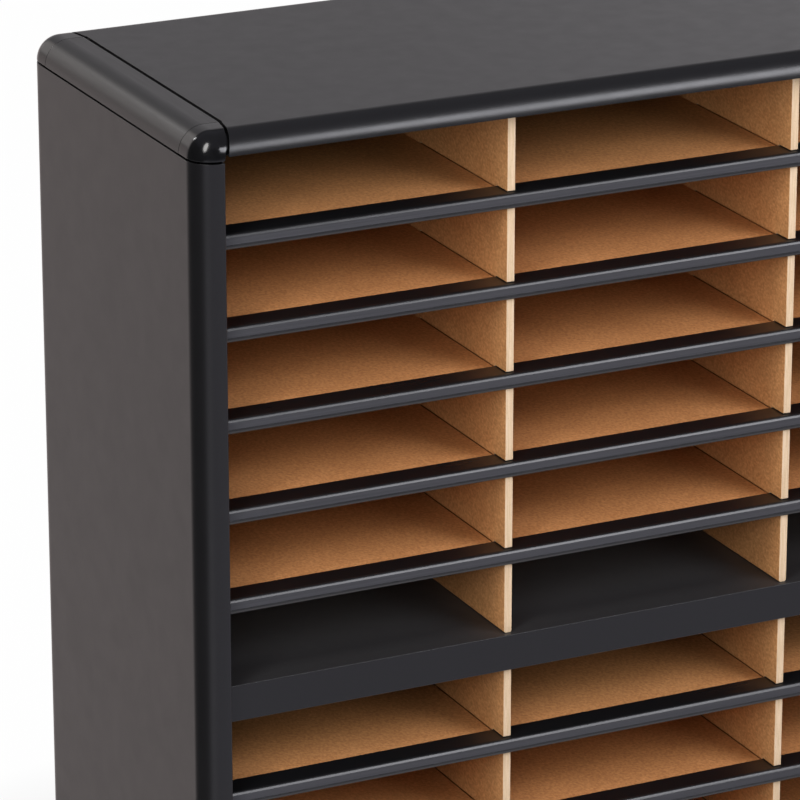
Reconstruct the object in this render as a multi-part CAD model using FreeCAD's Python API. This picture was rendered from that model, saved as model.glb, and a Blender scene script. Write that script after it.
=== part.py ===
import FreeCAD, Part
import math
import os

# Compartments and banks. A bank is five shelves above one steel floor.
compartment_width = 252.0
column_count = 3
row_pitch = 76.0
shelf_count = 5
floor_bay = 74.0             # steel floor up to the top of the lowest shelf's moulding
lower_head_bay = 93.0        # highest moulding of the lower bank up to the middle floor
upper_head_bay = 85.0        # highest moulding of the upper bank up to the top of the case
base_height = 31.0           # underside of the case up to the lowest steel floor
case_depth = 343.0

# Folded steel case
sheet = 1.2
edge_radius = 21.0           # round of the upright edges, the top edges and the corner caps
post_land = 3.5              # flat front strip beside the round of an upright edge
hem_depth = 14.0             # front and back returns of a side, folded into the case
joggle_overlap = 8.0         # inner wall's stepped edge, past the hem that it lies behind
fit_gap = 0.3                # between pieces that only stand beside each other
side_seam = 1.2              # shadow line under the rails and caps, above a side's outer skin
top_seam = 1.5               # shadow line between the top panel and the rails and caps
snap = 0.01                  # how near an edge lies to the plane that picks it
overrun = 5.0                # how far a cutting solid passes the faces that it cuts

# Top panel, its rails and corner caps
rail_land = 13.0             # flat top of a rail beside its round
rail_wall = 2.0
rail_ledge = 10.0            # shelf of a rail that carries the edge of the top panel
rail_leg_drop = 28.0         # fixing leg of a rail, inside the double wall
cap_land = 14.0              # cap's straight stretch along the rail, past its round
cap_inset = 0.5              # cap's front edge, short of the upright's inner edge
cap_wall = 2.5
peg_drop = 24.0
peg_place_share = 0.7        # middle of the peg, as a share of the edge radius from each face
peg_fill_share = 0.7         # peg's width, as a share of the room in the round of the upright
roll_lift = 3.0              # rolled front edge stops this far short of its quarter turn
rear_lip_drop = 14.0         # upright lip behind the top panel that takes the back panel

# Steel floors
floor_drop = 31.0            # height of the middle floor's front face
base_fold = 11.0             # folds that the lowest floor stands on
fold_gap = 1.5               # front folds, short of the dividers behind them

# Back panel
back_thickness = 4.8
back_recess = 3.0            # back panel's outer face, in from the back of the case

# Fibreboard shelves and dividers, lapped into each other
divider_thickness = 7.0
divider_inset = 2.5          # divider's front edge, behind the face of a moulding
divider_head_gap = 1.0       # divider's top, short of the steel above it
shelf_thickness = 5.0
shelf_end_gap = 1.0
board_back_gap = 0.8         # shelves and dividers, short of what stands behind them
slot_share = 0.5             # depth of a divider's slots, as a share of the divider's depth
slot_gap = 0.6               # play on each side of a board in its slot
lap_gap = 0.5                # play between the closed ends of two lapped slots

# Label moulding along the front edge of a shelf
moulding_setback = 13.5
flange_depth = 24.4
moulding_wall = 1.2          # top flange and lower leg
face_height = 13.0
face_web = 1.6
bead_depth = 1.2             # ridge and lip, forward of the label channel
ridge_height = 3.0
lip_height = 4.0
leg_depth = 14.5
notch_gap = 0.6              # play around a moulding in a divider's notch

# Clips that carry the ends of the shelves
clip_reach = 9.0
clip_width = 14.0
clip_thickness = 1.5
clip_leg = 5.0
clip_place_shares = (0.2, 0.72)

# Pan-head screws
screw_radius = 2.0
screw_length = 7.0
head_radius = 4.0
head_height = 2.0
head_crown_share = 0.5       # height and width of the head's sloped crown
hole_gap = 0.15
floor_screw_shares = (0.25, 0.75)
rail_screw_shares = (0.3, 0.7)
back_screw_shares = (-0.42, -0.14, 0.14, 0.42)

# Planes that the sizes above lead to
post_width = edge_radius + post_land
rail_width = edge_radius + rail_land
cap_depth = edge_radius + cap_land
opening_width = column_count * compartment_width + (column_count - 1) * divider_thickness
case_width = opening_width + 2 * post_width
bank_height = floor_bay + (shelf_count - 1) * row_pitch
mid_top = base_height + bank_height + lower_head_bay
case_height = mid_top + bank_height + upper_head_bay
left = -case_width / 2
front = -case_depth / 2
post_top = case_height - edge_radius
opening_half = opening_width / 2
back_face = front + case_depth - back_recess
back_front = back_face - back_thickness
board_back = back_front - sheet - board_back_gap
roll_bottom = case_height - edge_radius + roll_lift
moulding_front = front + moulding_setback
web_front = moulding_front + bead_depth
shelf_front = web_front + face_web
divider_front = shelf_front + divider_inset
fold_end = divider_front - fold_gap
lap_line = divider_front + slot_share * (board_back - divider_front)


def box(low, high):
    size = [b - a for a, b in zip(low, high)]
    return Part.makeBox(*size, FreeCAD.Vector(*low))


def mirror_x(shape):
    return shape.mirror(FreeCAD.Vector(0, 0, 0), FreeCAD.Vector(1, 0, 0))


def mirror_y(shape):
    return shape.mirror(FreeCAD.Vector(0, 0, 0), FreeCAD.Vector(0, 1, 0))


def save(node, shape):
    shape.exportStep("parts/" + node + ".step")
    print(node, len(shape.Solids), round(shape.Volume))


def save_pair(node, shape):
    save(node + "_left", shape)
    save(node + "_right", mirror_x(shape))


def rounded(shape, radius, keep):
    edges = [edge for edge in shape.Edges if keep(edge.BoundBox)]
    return shape.makeFillet(radius, edges)


def on(low, high, value):
    return abs(low - value) < snap and abs(high - value) < snap


def screw(seat, way):
    along = FreeCAD.Vector(*way)
    place = FreeCAD.Vector(*seat)
    crown = head_height * head_crown_share
    base = head_height - crown
    shank = Part.makeCylinder(screw_radius, screw_length, place, along)
    rim = Part.makeCylinder(head_radius, base, place, along * -1)
    top = Part.makeCone(head_radius, head_radius * head_crown_share, crown, place - along * base, along * -1)
    return shank.fuse([rim, top]).removeSplitter()


def screw_hole(seat, way):
    along = FreeCAD.Vector(*way)
    start = FreeCAD.Vector(*seat) - along * overrun
    return Part.makeCylinder(screw_radius + hole_gap, screw_length + 2 * overrun, start, along)


# Places of the screws, each with the way that it is driven
floor_depth = back_front - moulding_front
floor_end = opening_half - fit_gap - sheet


def floor_seats(top, drop):
    seats = []
    for share in floor_screw_shares:
        place = (floor_end, moulding_front + share * floor_depth, top - drop / 2)
        seats.append((place, (1, 0, 0)))
    return seats


rail_seats = []
for rail_share in rail_screw_shares:
    rail_place = (opening_half, front + rail_share * case_depth, post_top - rail_leg_drop / 2)
    rail_seats.append((rail_place, (1, 0, 0)))

back_levels = (base_height / 2, mid_top - floor_drop / 2, roll_bottom - rear_lip_drop / 2)
back_seats = []
for level in back_levels:
    for back_share in back_screw_shares:
        back_seats.append(((back_share * opening_width, back_face, level), (0, -1, 0)))
back_holes = [screw_hole(seat, way) for seat, way in back_seats]


# Side of the case: an outer skin folded round both upright edges, made as the left one
def side_skin():
    high = (left + post_width, front + case_depth, post_top - side_seam)
    block = rounded(box((left, front, 0), high), edge_radius,
                    lambda b: on(b.XMin, b.XMax, left) and on(b.YMin, b.YMax, b.YMin))
    hollow_low = (left + sheet, front + sheet, -overrun)
    hollow_high = (left + post_width - sheet, front + case_depth - sheet, post_top + overrun)
    hollow = rounded(box(hollow_low, hollow_high), edge_radius - sheet,
                     lambda b: on(b.XMin, b.XMax, left + sheet) and on(b.YMin, b.YMax, b.YMin))
    mouth = box((left + post_width - sheet - overrun, front + hem_depth, -overrun),
                (left + post_width + overrun, front + case_depth - hem_depth, post_top + overrun))
    return block.cut([hollow, mouth])


# Inner wall: flush with the hems, with stepped edges that lie behind them
def side_liner():
    face = left + post_width
    plate = box((face - sheet, front + hem_depth + fit_gap, 0),
                (face, front + case_depth - hem_depth - fit_gap, post_top))
    step = box((face - 2 * sheet, front + sheet + fit_gap, 0),
               (face - sheet, front + hem_depth + joggle_overlap, post_top))
    wall = plate.fuse([step, mirror_y(step)]).removeSplitter()
    seats = floor_seats(mid_top, floor_drop) + floor_seats(base_height, base_height) + rail_seats
    return wall.cut([mirror_x(screw_hole(seat, way)) for seat, way in seats])


# Rail: hollow quarter round with a ledge for the top panel and a leg inside the double wall
def top_rail():
    face = left + post_width
    start = front + cap_depth + fit_gap
    end = front + case_depth - cap_depth - fit_gap
    block = box((left, start, post_top - edge_radius), (left + rail_width, end, case_height))
    block = rounded(block, edge_radius,
                    lambda b: on(b.XMin, b.XMax, left) and on(b.ZMin, b.ZMax, case_height))
    block = block.common(box((left, start, post_top), (left + rail_width, end, case_height)))
    core = box((left + rail_wall, start - overrun, post_top - edge_radius),
               (face - rail_wall, end + overrun, case_height - rail_wall))
    core = rounded(core, edge_radius - rail_wall,
                   lambda b: on(b.XMin, b.XMax, left + rail_wall)
                   and on(b.ZMin, b.ZMax, case_height - rail_wall))
    core = core.common(box((left, start - overrun, post_top + rail_wall),
                           (left + rail_width, end + overrun, case_height)))
    under = box((face, start - overrun, post_top - overrun),
                (left + rail_width + overrun, end + overrun, case_height - sheet - rail_wall))
    ledge = box((left + rail_width - rail_wall, start, case_height - sheet - rail_wall),
                (left + rail_width + rail_ledge, end, case_height - sheet))
    inset = max(cap_depth, hem_depth + joggle_overlap) + fit_gap
    leg = box((face - sheet - rail_wall, front + inset, post_top - rail_leg_drop),
              (face - sheet, front + case_depth - inset, post_top + rail_wall))
    rail = block.cut([core, under]).fuse([ledge, leg]).removeSplitter()
    return rail.cut([mirror_x(screw_hole(seat, way)) for seat, way in rail_seats])


# Slanted seam between a front corner cap and the top panel, as all that lies on the cap's side
def seam_side(gap):
    reach = cap_depth + edge_radius
    seam_front = post_width - cap_inset
    slope = (rail_width - seam_front) / reach
    points = []
    for step in (-reach, 2 * reach):
        across = left + seam_front + slope * step + gap
        points.append(FreeCAD.Vector(across, front + step / 2 - reach, post_top + step / 2 + reach))
    ends = [FreeCAD.Vector(left - overrun, point.y, point.z) for point in reversed(points)]
    outline = Part.makePolygon(points + ends + points[:1])
    return Part.Face(outline).extrude(FreeCAD.Vector(0, 2 * reach, -2 * reach))


# Corner cap: a hollow ball corner with a peg that plugs into the upright
def corner_cap():
    def ball(wall):
        low = (left + wall, front + wall, post_top - edge_radius)
        high = (left + post_width + rail_width, front + cap_depth + edge_radius, case_height - wall)
        return rounded(box(low, high), edge_radius - wall,
                       lambda b: (on(b.XMin, b.XMax, low[0]) and on(b.YMin, b.YMax, low[1]))
                       or (on(b.XMin, b.XMax, low[0]) and on(b.ZMin, b.ZMax, high[2]))
                       or (on(b.YMin, b.YMax, low[1]) and on(b.ZMin, b.ZMax, high[2])))
    limits = box((left, front, post_top), (left + rail_width, front + cap_depth, case_height))
    room = box((left, front, post_top - overrun),
               (left + post_width - cap_inset - cap_wall, front + cap_depth - cap_wall, case_height))
    hollow = ball(cap_wall).common(room)
    shell = ball(0).common(limits).common(seam_side(0)).cut(hollow)
    middle = peg_place_share * edge_radius
    corner_room = edge_radius - sheet - (edge_radius - middle) * math.sqrt(2)
    half = peg_fill_share * corner_room / math.sqrt(2)
    peg = box((left + middle - half, front + middle - half, post_top - peg_drop),
              (left + middle + half, front + middle + half, case_height - cap_wall))
    return shell.fuse(peg).removeSplitter()


# Top panel: one sheet rolled over at the front and the back
def top_panel():
    half = case_width / 2 - post_width + cap_inset
    low = case_height - 2 * edge_radius

    def slab(wall, reach):
        block = box((-half - reach, front + wall, low),
                    (half + reach, front + case_depth - wall, case_height - wall))
        return rounded(block, edge_radius - wall,
                       lambda b: on(b.ZMin, b.ZMax, case_height - wall) and on(b.YMin, b.YMax, b.YMin))
    skin = slab(0, 0).cut(slab(sheet, overrun))
    skin = skin.common(box((-half, front, roll_bottom), (half, front + case_depth, case_height)))
    fold = box((-half, front + sheet, roll_bottom), (half, fold_end, roll_bottom + sheet))
    rear = box((-half, back_front - sheet, roll_bottom),
               (half, front + case_depth - sheet, roll_bottom + sheet))
    lip = box((-opening_half + fit_gap, back_front - sheet, roll_bottom - rear_lip_drop),
              (opening_half - fit_gap, back_front, roll_bottom + sheet))
    panel = skin.fuse([fold, rear, lip]).removeSplitter()
    zone = box((left, front - overrun, post_top),
               (0, front + cap_depth + fit_gap, case_height + overrun))
    corner = seam_side(top_seam).common(zone)
    side = box((left, front + cap_depth, roll_bottom + sheet),
               (left + rail_width + top_seam, front + case_depth - cap_depth, case_height + overrun))
    cuts = [corner, mirror_y(corner), side]
    return panel.cut(cuts + [mirror_x(cut) for cut in cuts] + back_holes)


# Steel floor: a shallow tray turned upside down, flush with the mouldings, with its edges folded under
def steel_floor(top, drop, folds):
    half = opening_half - fit_gap
    low = top - drop
    tray = box((-half, moulding_front, low), (half, back_front, top))
    hollow = box((-half + sheet, moulding_front + sheet, low - overrun),
                 (half - sheet, back_front - sheet, top - sheet))
    flaps = [box((-half, start, low), (half, end, low + sheet)) for start, end in folds]
    floor = tray.cut(hollow).fuse(flaps).removeSplitter()
    holes = [screw_hole(seat, way) for seat, way in floor_seats(top, drop)]
    return floor.cut(holes + [mirror_x(hole) for hole in holes] + back_holes)


def back_panel():
    panel = box((-opening_half + fit_gap, back_front, fit_gap),
                (opening_half - fit_gap, back_face, post_top - fit_gap))
    return panel.cut(back_holes)


def shelf_tops(floor):
    return [floor + floor_bay + number * row_pitch for number in range(shelf_count)]


divider_step = compartment_width + divider_thickness
divider_middles = [(number - (column_count - 2) / 2) * divider_step for number in range(column_count - 1)]


# Underside of the top panel at a place along the depth, with its rolled edges
def roll_underside(place):
    past = max(0, abs(place) - case_depth / 2 + edge_radius)
    return post_top + math.sqrt((edge_radius - sheet) ** 2 - past ** 2)


# Divider: an upright board with a slot from the front for each shelf and a notch for its moulding
def divider(middle, floor, head):
    half = divider_thickness / 2
    board = box((middle - half, divider_front, floor), (middle + half, board_back, head - divider_head_gap))
    cuts = []
    for top in shelf_tops(floor):
        shelf_top = top - moulding_wall
        under = shelf_top - shelf_thickness
        slot = box((middle - half - overrun, divider_front - overrun, under),
                   (middle + half + overrun, lap_line, shelf_top + slot_gap))
        notch = box((middle - half - overrun, divider_front - overrun, under - moulding_wall - notch_gap),
                    (middle + half + overrun, moulding_front + flange_depth + notch_gap, top + notch_gap))
        cuts += [slot, notch]
    return board.cut(cuts)


# Shelf: a flat board with a slot from the back for each divider
def shelf(top):
    half = opening_half - shelf_end_gap
    shelf_top = top - moulding_wall
    board = box((-half, shelf_front, shelf_top - shelf_thickness), (half, board_back, shelf_top))
    reach = divider_thickness / 2 + slot_gap
    slots = [box((middle - reach, lap_line - lap_gap, shelf_top - shelf_thickness - overrun),
                 (middle + reach, board_back + overrun, shelf_top + overrun)) for middle in divider_middles]
    return board.cut(slots)


# Moulding: a channel that grips the shelf's front edge, with a label channel in its face
def label_moulding(top):
    leg_top = top - moulding_wall - shelf_thickness
    leg_low = leg_top - moulding_wall
    face_low = top - face_height
    flange_back = moulding_front + flange_depth
    leg_back = shelf_front + leg_depth
    outline = [(moulding_front, top), (flange_back, top), (flange_back, top - moulding_wall),
               (shelf_front, top - moulding_wall), (shelf_front, leg_top), (leg_back, leg_top),
               (leg_back, leg_low), (shelf_front, leg_low), (shelf_front, face_low),
               (moulding_front, face_low), (moulding_front, face_low + lip_height),
               (web_front, face_low + lip_height), (web_front, top - ridge_height),
               (moulding_front, top - ridge_height)]
    half = opening_half - shelf_end_gap
    points = [FreeCAD.Vector(-half, y, z) for y, z in outline]
    return Part.Face(Part.makePolygon(points + points[:1])).extrude(FreeCAD.Vector(2 * half, 0, 0))


# Clips on one inner wall, two for each shelf
def shelf_clips():
    clips = []
    for floor in (base_height, mid_top):
        for top in shelf_tops(floor):
            under = top - moulding_wall - shelf_thickness
            for share in clip_place_shares:
                start = front + share * case_depth
                ledge = box((-opening_half, start, under - clip_thickness),
                            (-opening_half + clip_reach, start + clip_width, under))
                leg = box((-opening_half, start, under - clip_thickness - clip_leg),
                          (-opening_half + clip_thickness, start + clip_width, under))
                clips.append(ledge.fuse(leg).removeSplitter())
    return Part.makeCompound(clips)


def screw_group(seats):
    return Part.makeCompound([screw(seat, way) for seat, way in seats])


def both_ends(seats):
    group = screw_group(seats)
    return Part.makeCompound(group.Solids + mirror_x(group).Solids)


os.makedirs("parts", exist_ok=True)
save_pair("side_panel", side_skin())
save_pair("inner_wall", side_liner())
save_pair("top_rail", top_rail())
front_cap = corner_cap()
save_pair("front_corner_cap", front_cap)
save_pair("back_corner_cap", mirror_y(front_cap))
save("top_panel", top_panel())
save("middle_floor", steel_floor(mid_top, floor_drop, [(moulding_front, fold_end)]))
base_folds = [(moulding_front, moulding_front + base_fold), (back_front - base_fold, back_front)]
save("base_floor", steel_floor(base_height, base_height, base_folds))
save("back_panel", back_panel())
save_pair("shelf_clips", shelf_clips())
banks = (("lower", base_height, mid_top - sheet), ("upper", mid_top, roll_underside(board_back)))
for bank, bank_floor, bank_head in banks:
    for side, divider_middle in zip(("left", "right"), divider_middles):
        save("divider_" + bank + "_" + side, divider(divider_middle, bank_floor, bank_head))
    for number, shelf_top_level in enumerate(shelf_tops(bank_floor), 1):
        save("shelf_" + bank + "_" + str(number), shelf(shelf_top_level))
        save("label_moulding_" + bank + "_" + str(number), label_moulding(shelf_top_level))
save("middle_floor_screws", both_ends(floor_seats(mid_top, floor_drop)))
save("base_floor_screws", both_ends(floor_seats(base_height, base_height)))
save("rail_screws", both_ends(rail_seats))
save("back_screws", screw_group(back_seats))
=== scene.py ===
import math

import bmesh
import bpy
from mathutils import Matrix, Vector


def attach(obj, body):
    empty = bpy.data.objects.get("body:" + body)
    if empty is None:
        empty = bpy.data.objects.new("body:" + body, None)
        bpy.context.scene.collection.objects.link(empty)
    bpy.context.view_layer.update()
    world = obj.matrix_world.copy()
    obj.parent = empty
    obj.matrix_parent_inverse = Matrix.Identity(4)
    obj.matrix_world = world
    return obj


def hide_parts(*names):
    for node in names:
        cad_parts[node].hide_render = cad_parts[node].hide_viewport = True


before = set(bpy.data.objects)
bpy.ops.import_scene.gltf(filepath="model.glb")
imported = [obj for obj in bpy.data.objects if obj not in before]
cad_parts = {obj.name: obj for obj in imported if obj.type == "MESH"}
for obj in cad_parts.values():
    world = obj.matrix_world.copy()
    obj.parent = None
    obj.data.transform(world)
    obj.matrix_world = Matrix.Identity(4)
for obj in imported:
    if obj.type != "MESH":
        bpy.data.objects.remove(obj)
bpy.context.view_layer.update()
print("organizer: frame loaded,", len(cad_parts), "CAD nodes")

mm = 0.001
# Tolerances: corners that merge, points on a plane, faces that lie flat, faces that look one way
weld = 0.001 * mm
touch = 0.02 * mm
flatTurn = 0.01
mostly = 0.5

# Levels and planes that several pieces share, in metres
case = dict(
    left=-409.5 * mm, front=-171.5 * mm, back=171.5 * mm,
    top=965 * mm, postTop=944 * mm, edgeRadius=21 * mm, sheet=1.2 * mm,
    postWidth=24.5 * mm, openingHalf=385 * mm, fitGap=0.3 * mm,
    mouldingFront=-158 * mm, flangeDepth=24.4 * mm, shelfFront=-155.2 * mm,
    dividerFront=-152.7 * mm, lapLine=4.5 * mm, boardBack=161.7 * mm,
    backFront=163.7 * mm, backFace=168.5 * mm, baseTop=31 * mm, midTop=502 * mm,
    floorBay=74 * mm, rowPitch=76 * mm, shelfCount=5, dividerX=129.5 * mm,
)
banks = (("lower", case["baseTop"]), ("upper", case["midTop"]))


def shelfLevels(floor):
    return [floor + case["floorBay"] + row * case["rowPitch"] for row in range(case["shelfCount"])]


# Finishes: each pattern is a scale and a detail, and most of the noise lies in toneRange

toneRange = (0.3, 0.7)
white = (1.0, 1.0, 1.0)


def startFinish(name, look):
    finish = bpy.data.materials.new(name)
    finish.use_nodes = True
    shader = finish.node_tree.nodes["Principled BSDF"]
    shader.inputs["Roughness"].default_value = look["plain"]
    shader.inputs["Specular IOR Level"].default_value = look["specular"]
    shader.inputs["Metallic"].default_value = look.get("metallic", 0.0)
    return finish, finish.node_tree


def grain(tree, pattern, stretch=(1, 1, 1), turn=(0, 0, 0)):
    coords = tree.nodes.new("ShaderNodeTexCoord")
    place = tree.nodes.new("ShaderNodeMapping")
    place.inputs["Scale"].default_value = stretch
    place.inputs["Rotation"].default_value = turn
    noise = tree.nodes.new("ShaderNodeTexNoise")
    noise.inputs["Scale"].default_value, noise.inputs["Detail"].default_value = pattern
    tree.links.new(coords.outputs["Object"], place.inputs["Vector"])
    tree.links.new(place.outputs["Vector"], noise.inputs["Vector"])
    return noise.outputs["Fac"]


def spread(tree, value, low, high, fromLow=toneRange[0], fromHigh=toneRange[1]):
    ranged = tree.nodes.new("ShaderNodeMapRange")
    ranged.inputs["From Min"].default_value = fromLow
    ranged.inputs["From Max"].default_value = fromHigh
    ranged.inputs["To Min"].default_value = low
    ranged.inputs["To Max"].default_value = high
    tree.links.new(value, ranged.inputs["Value"])
    return ranged.outputs["Result"]


def shades(tree, value, places, colours):
    ramp = tree.nodes.new("ShaderNodeValToRGB")
    for middle in places[1:-1]:
        ramp.color_ramp.elements.new(middle)
    for stop, place, colour in zip(ramp.color_ramp.elements, places, colours):
        stop.position = place
        stop.color = (*colour, 1)
    tree.links.new(value, ramp.inputs["Fac"])
    return ramp.outputs["Color"]


def mixColours(tree, amount, first, second, way="MIX"):
    mix = tree.nodes.new("ShaderNodeMix")
    mix.data_type = "RGBA"
    mix.blend_type = way
    if isinstance(amount, float):
        mix.inputs[0].default_value = amount
    else:
        tree.links.new(amount, mix.inputs[0])
    tree.links.new(first, mix.inputs[6])
    tree.links.new(second, mix.inputs[7])
    return mix.outputs[2]


# Joins a finish's colour, roughness and relief to its shader
def dress(finish, colour, roughness, height, depth):
    tree = finish.node_tree
    shader = tree.nodes["Principled BSDF"]
    bump = tree.nodes.new("ShaderNodeBump")
    bump.inputs["Strength"].default_value = 1.0
    bump.inputs["Distance"].default_value = depth
    tree.links.new(height, bump.inputs["Height"])
    tree.links.new(colour, shader.inputs["Base Color"])
    tree.links.new(roughness, shader.inputs["Roughness"])
    tree.links.new(bump.outputs["Normal"], shader.inputs["Normal"])
    return finish


powderCoat = dict(
    dark=(0.0042, 0.0040, 0.0046), light=(0.0072, 0.0069, 0.0077),
    plain=0.31, roughness=(0.29, 0.33), specular=0.5,
    speckle=(1020, 2.0), patch=(55, 4.0), peel=(600, 2.0), peelDepth=0.024 * mm,
)
# the floors' up-facing faces: the same powder coat, matter, with a lighter colour that is painted
# light on the steel tops
floorTopMatteAndPaintedLight = dict(
    dark=(0.020, 0.020, 0.021), light=(0.027, 0.027, 0.029),
    plain=0.425, roughness=(0.40, 0.45), specular=0.32,
    speckle=(1020, 2.0), patch=(60, 4.0), peel=(600, 2.0), peelDepth=0.007 * mm,
    # paler colour towards the back of the bays: painted light where they lie in shade
    paintedDeepLight=((0.095, 0.095, 0.096), (0.112, 0.112, 0.114)), paintedDeepLightReach=(-125 * mm, 30 * mm),
)


def depthIn(tree):
    coords = tree.nodes.new("ShaderNodeTexCoord")
    split = tree.nodes.new("ShaderNodeSeparateXYZ")
    tree.links.new(coords.outputs["Object"], split.inputs["Vector"])
    return split.outputs["Y"]


# Baked powder: fine speckle, slight orange peel, and on the floors painted light, paler towards the
# back of the bays
def makePowderCoat(name, look):
    finish, tree = startFinish(name, look)
    speckle = grain(tree, look["speckle"])
    colour = shades(tree, speckle, toneRange, (look["dark"], look["light"]))
    # painted light: deeper in the bays the floor colour blends to a far paler grey
    if "paintedDeepLight" in look:
        paintedDeepLight = shades(tree, speckle, toneRange, look["paintedDeepLight"])
        deepLightShare = spread(tree, depthIn(tree), 0.0, 1.0, *look["paintedDeepLightReach"])
        colour = mixColours(tree, deepLightShare, colour, paintedDeepLight)
    roughness = spread(tree, grain(tree, look["patch"]), *look["roughness"])
    return dress(finish, colour, roughness, grain(tree, look["peel"]), look["peelDepth"])


railSatin = dict(
    dark=(0.0095, 0.0092, 0.0094), light=(0.0145, 0.0140, 0.0142),
    plain=0.33, roughness=(0.29, 0.34), specular=0.5,
    speckle=(1400, 2.0), brush=(60, 3.0), brushStretch=(6, 0.4, 6),
    peel=(700, 2.0), peelDepth=0.014 * mm,
)


def makeRailSatin():
    finish, tree = startFinish("railSatin", railSatin)
    speckle = grain(tree, railSatin["speckle"])
    colour = shades(tree, speckle, toneRange, (railSatin["dark"], railSatin["light"]))
    brushed = grain(tree, railSatin["brush"], railSatin["brushStretch"])
    roughness = spread(tree, brushed, *railSatin["roughness"])
    return dress(finish, colour, roughness, grain(tree, railSatin["peel"]), railSatin["peelDepth"])


capGloss = dict(
    dark=(0.0025, 0.0025, 0.0029), light=(0.0045, 0.0045, 0.0050),
    plain=0.12, roughness=(0.13, 0.17), specular=0.46,
    cloud=(90, 3.0), patch=(45, 4.0), ripple=(220, 1.0), rippleDepth=0.010 * mm,
)


def makeCapGloss():
    finish, tree = startFinish("capGloss", capGloss)
    clouds = grain(tree, capGloss["cloud"])
    colour = shades(tree, clouds, toneRange, (capGloss["dark"], capGloss["light"]))
    roughness = spread(tree, grain(tree, capGloss["patch"]), *capGloss["roughness"])
    ripples = grain(tree, capGloss["ripple"])
    return dress(finish, colour, roughness, ripples, capGloss["rippleDepth"])


# Drawn plastic: streaks run along the moulding, as the die drew them
drawn = dict(
    draw=(900, 3.0), drawStretch=(0.006, 1, 1), drawDepth=0.012 * mm,
    patch=(30, 3.0), patchStretch=(0.15, 1, 1),
)
mouldingBlack = dict(
    drawn, dark=(0.0040, 0.0040, 0.0046), light=(0.0066, 0.0066, 0.0075),
    plain=0.31, roughness=(0.27, 0.35), specular=0.54,
)
labelGrey = dict(
    drawn, dark=(0.028, 0.028, 0.032), light=(0.040, 0.040, 0.046),
    plain=0.44, roughness=(0.38, 0.50), specular=0.5,
)


def makeMoulding(name, look):
    finish, tree = startFinish(name, look)
    streaks = grain(tree, look["draw"], look["drawStretch"])
    colour = shades(tree, streaks, toneRange, (look["dark"], look["light"]))
    patches = grain(tree, look["patch"], look["patchStretch"])
    roughness = spread(tree, patches, *look["roughness"])
    return dress(finish, colour, roughness, streaks, look["drawDepth"])


boardFace = dict(
    deep=(0.430, 0.187, 0.066), mid=(0.530, 0.243, 0.091), pale=(0.622, 0.306, 0.122),
    tones=(0.12, 0.5, 0.88), fibre=(430, 4.0), fibreStretch=(1.0, 0.75, 1.0),
    fibreTurns=((0.3, 0.2, 0.4), (-0.6, 0.5, 1.5), (0.9, -0.4, 2.6)), feltRange=(1.1, 1.9),
    fleck=(0.230, 0.092, 0.031), fleckLight=1.3, fleckShare=(0.66, 0.80), fleckCover=0.55,
    fleckGrain=(760, 2.0), fleckStretch=(1.0, 0.7, 1.0), fleckTurn=(0.7, 0.3, 1.1),
    cloud=(22, 4.0), cloudDark=(0.90, 0.88, 0.86),
    plain=0.66, roughness=(0.60, 0.74), fibreDepth=0.02 * mm, specular=0.25,
)
boardTints = dict(
    # the divider board's tint is paler than the shelf board's, partly as painted light on the
    # dividers' upright faces
    boardFace=white, dividerBoard=(1.15, 1.22, 1.27), backBoard=(0.86, 0.86, 0.86),
    # the cut grooves are darkened as painted shade along the joints of dividers and shelves
    paintedKerfShade=(0.36, 0.30, 0.26),
)


# Pressed fibreboard: felted fibres in every direction, darker flecks, faint cloudy patches
def makeBoardFace(name, tint):
    finish, tree = startFinish(name, boardFace)
    deep, mid, pale, fleck = [[c * t for c, t in zip(boardFace[key], tint)]
                              for key in ("deep", "mid", "pale", "fleck")]
    fibres = [grain(tree, boardFace["fibre"], boardFace["fibreStretch"], turn)
              for turn in boardFace["fibreTurns"]]
    felt = fibres[0]
    for other in fibres[1:]:
        total = tree.nodes.new("ShaderNodeMath")
        total.operation = "ADD"
        tree.links.new(felt, total.inputs[0])
        tree.links.new(other, total.inputs[1])
        felt = total.outputs["Value"]
    felt = spread(tree, felt, 0.0, 1.0, *boardFace["feltRange"])
    tone = shades(tree, felt, boardFace["tones"], (deep, mid, pale))
    flecks = grain(tree, boardFace["fleckGrain"], boardFace["fleckStretch"], boardFace["fleckTurn"])
    fleckTones = (fleck, [c * boardFace["fleckLight"] for c in fleck])
    fleckTone = shades(tree, flecks, (0.0, 1.0), fleckTones)
    dots = spread(tree, flecks, 0.0, boardFace["fleckCover"], *boardFace["fleckShare"])
    tone = mixColours(tree, dots, tone, fleckTone)
    cloudTones = (boardFace["cloudDark"], white)
    clouds = shades(tree, grain(tree, boardFace["cloud"]), toneRange, cloudTones)
    tone = mixColours(tree, 1.0, tone, clouds, "MULTIPLY")
    roughness = spread(tree, felt, *boardFace["roughness"], 0.0, 1.0)
    return dress(finish, tone, roughness, felt, boardFace["fibreDepth"])


boardEdge = dict(
    deep=(0.507, 0.365, 0.230), core=(0.580, 0.429, 0.281), pale=(0.652, 0.501, 0.348),
    tones=(0.25, 0.5, 0.75), streak=(900, 3.0), streakStretch=(1, 1, 0.06),
    fuzz=(900, 3.0), fuzzDepth=0.05 * mm, speckDark=(0.86, 0.83, 0.80), speckRange=(0.25, 0.42),
    plain=0.75, roughness=(0.68, 0.80), specular=0.2,
)


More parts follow.
